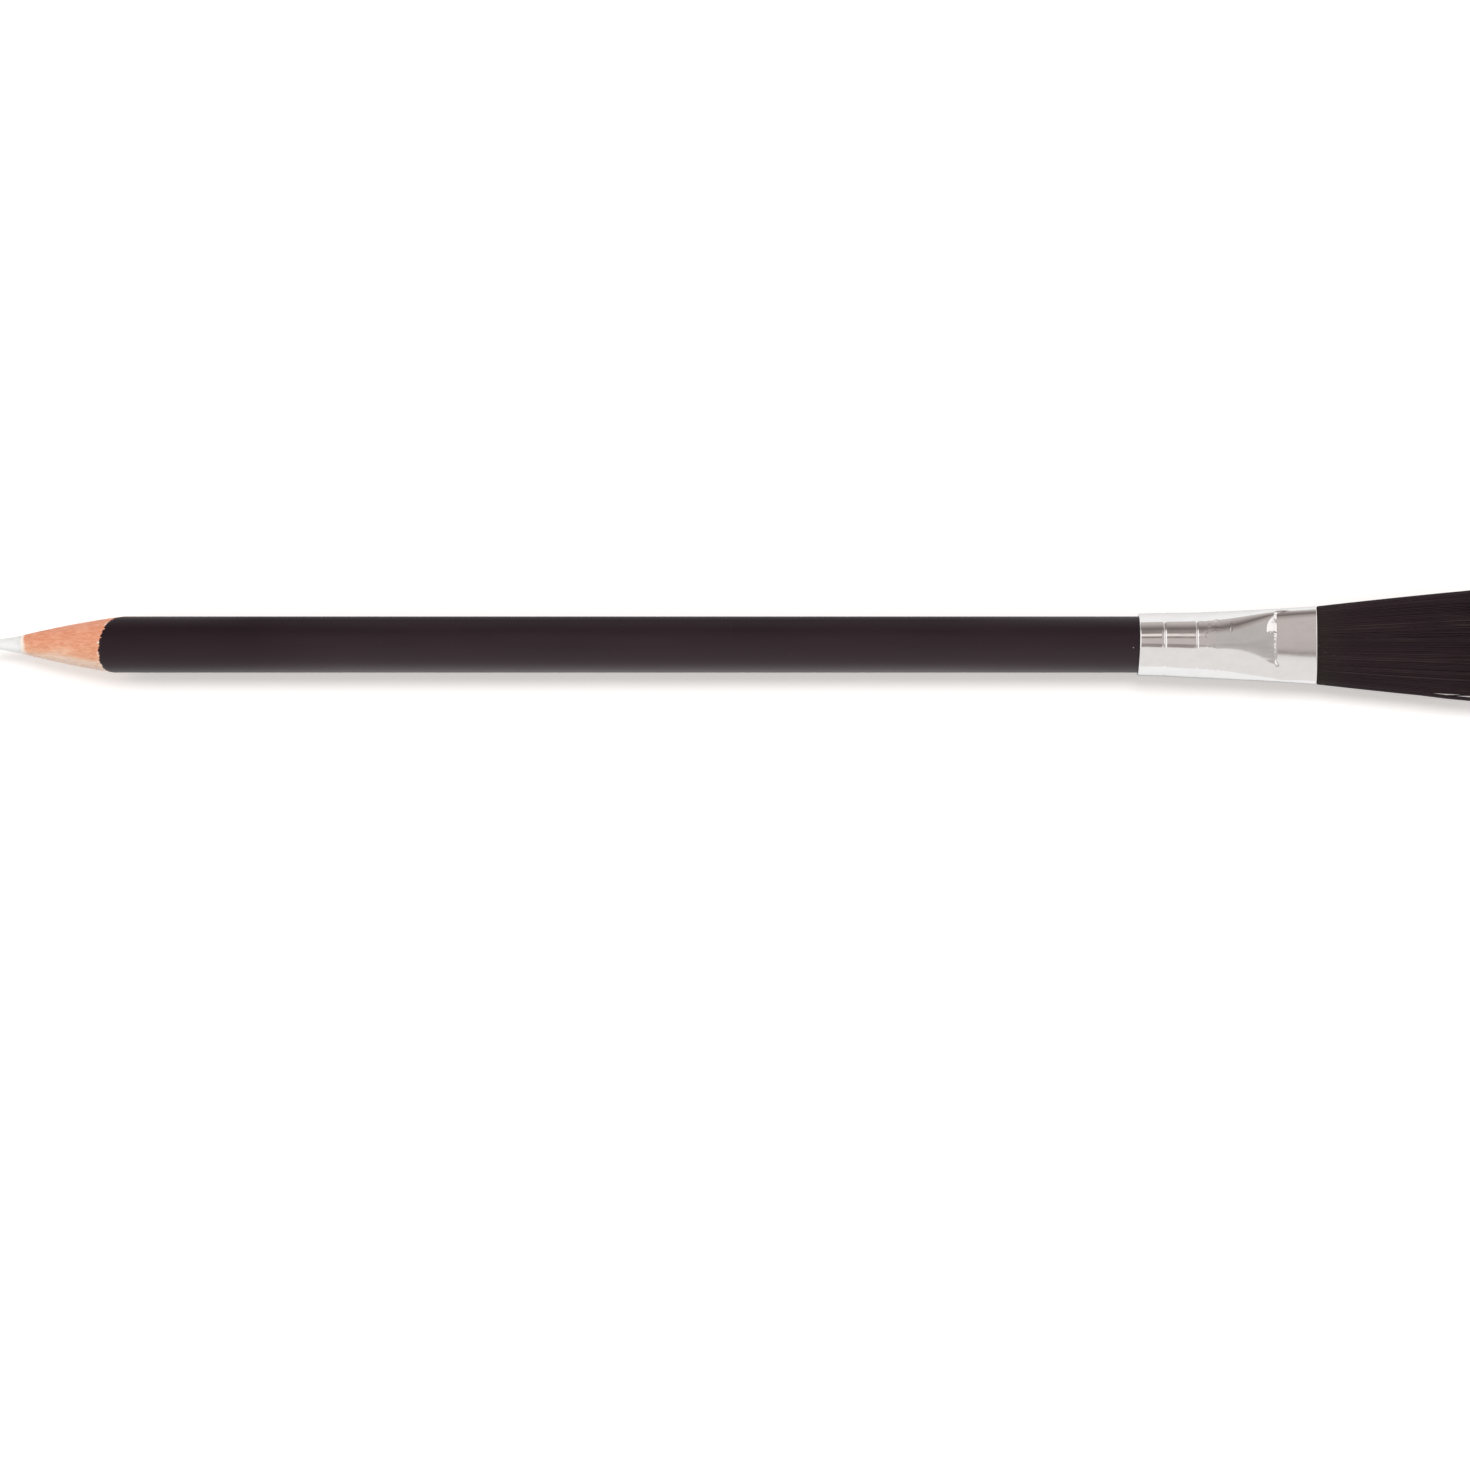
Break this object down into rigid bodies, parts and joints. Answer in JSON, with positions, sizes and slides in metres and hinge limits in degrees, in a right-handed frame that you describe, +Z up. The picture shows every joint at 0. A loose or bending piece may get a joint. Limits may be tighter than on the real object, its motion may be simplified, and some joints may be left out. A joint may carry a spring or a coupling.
{
  "type": "eraser pencil",
  "caption": "Round wood-cased eraser pencil: sharpened white eraser core, dark lacquered barrel, pressed metal ferrule and a flared flat bristle brush that flexes on a sprung hinge.",
  "frame": {"origin": "centre of the bounding box, on the plane that the pencil lies on", "axes": "+X along the pencil from the eraser tip to the brush, +Z up through the thin way of the brush, +Y across the brush"},
  "size_m": [0.2158, 0.0158, 0.0088],
  "materials": {
    "wood": "bare, cut by a sharpener",
    "wood_glue": "matt",
    "eraser": "matt, chalky",
    "lacquer": "satin lacquer",
    "ferrule": "bright drawn",
    "adhesive": "matt",
    "resin": "cast",
    "bristles": "satin filament"
  },
  "bodies": {
    "pencil": {"upper_casing_slat": "wood", "lower_casing_slat": "wood", "slat_glue": "wood_glue", "eraser_core": "eraser", "lacquer_coat": "lacquer", "ferrule": "ferrule", "ferrule_adhesive": "adhesive", "bristle_resin": "resin", "bristle_roots": "bristles"},
    "brush_tuft": {"bristle_lock_01": "bristles", "bristle_lock_02": "bristles", "bristle_lock_03": "bristles", "bristle_lock_04": "bristles", "bristle_lock_05": "bristles", "bristle_lock_06": "bristles", "bristle_lock_07": "bristles", "bristle_lock_08": "bristles", "bristle_lock_09": "bristles", "bristle_lock_10": "bristles", "bristle_lock_11": "bristles", "bristle_lock_12": "bristles", "bristle_lock_13": "bristles", "bristle_lock_14": "bristles", "bristle_lock_15": "bristles", "bristle_lock_16": "bristles", "bristle_lock_17": "bristles", "bristle_lock_18": "bristles", "bristle_lock_19": "bristles", "bristle_lock_20": "bristles", "bristle_lock_21": "bristles", "bristle_lock_22": "bristles", "bristle_lock_23": "bristles", "bristle_lock_24": "bristles", "bristle_lock_25": "bristles", "bristle_lock_26": "bristles", "bristle_lock_27": "bristles"}
  },
  "joints": [
    {"name": "bristle_flex", "type": "hinge", "parent": "pencil", "child": "brush_tuft", "pos_m": [0.08585, 0, 0.00442], "axis": [0, 1, 0], "range_deg": [-35, 35], "stiffness_Nm_per_rad": 0.0065}
  ]
}
